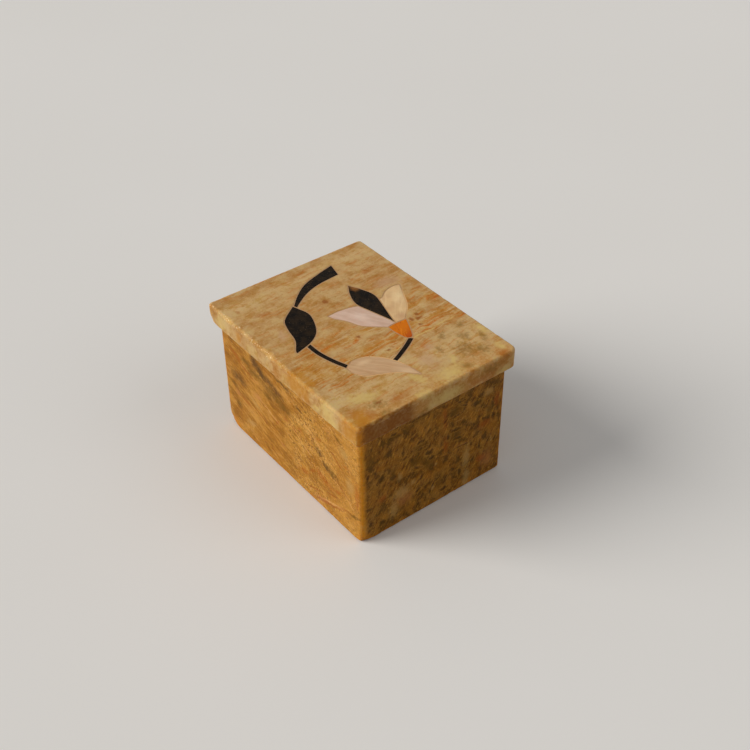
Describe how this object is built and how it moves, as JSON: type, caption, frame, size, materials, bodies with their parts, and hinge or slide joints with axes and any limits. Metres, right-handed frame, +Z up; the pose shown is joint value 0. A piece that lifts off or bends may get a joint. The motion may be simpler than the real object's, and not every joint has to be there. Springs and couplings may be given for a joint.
{
  "type": "stone box",
  "caption": "Small rectangular box carved from solid stone, with a lift-off stone lid whose face is inlaid with a floral spray of coloured stones.",
  "frame": {"origin": "middle of the box's underside, on the surface it stands on", "axes": "+Z up, +X along the long side, -Y out of the long side that the picture shows"},
  "size_m": [0.051, 0.0392, 0.0315],
  "materials": {
    "body_stone": "mottled ochre stone, rubbed smooth",
    "lid_stone": "banded cream and ochre stone, polished",
    "black_stone": "black stone, polished with fine scratches",
    "brown_black_stone": "brown-black stone, polished",
    "pink_shell": "pink shell, polished with a soft sheen",
    "cream_shell": "cream shell, polished with a soft sheen",
    "orange_stone": "clear orange stone, polished"
  },
  "bodies": {
    "body": {"box_body": "body_stone"},
    "lid": {"lid": "lid_stone", "stem_tail": "black_stone", "leaf_dark": "black_stone", "stem_lower": "black_stone", "stem_right": "black_stone", "leaf_shell": "pink_shell", "petal_lower": "pink_shell", "petal_upper": "cream_shell", "petal_centre": "brown_black_stone", "calyx": "orange_stone"}
  },
  "joints": [
    {"name": "lid_lift", "type": "slide", "parent": "body", "child": "lid", "axis": [0, 0, 1], "range_m": [0, 0.04]}
  ]
}
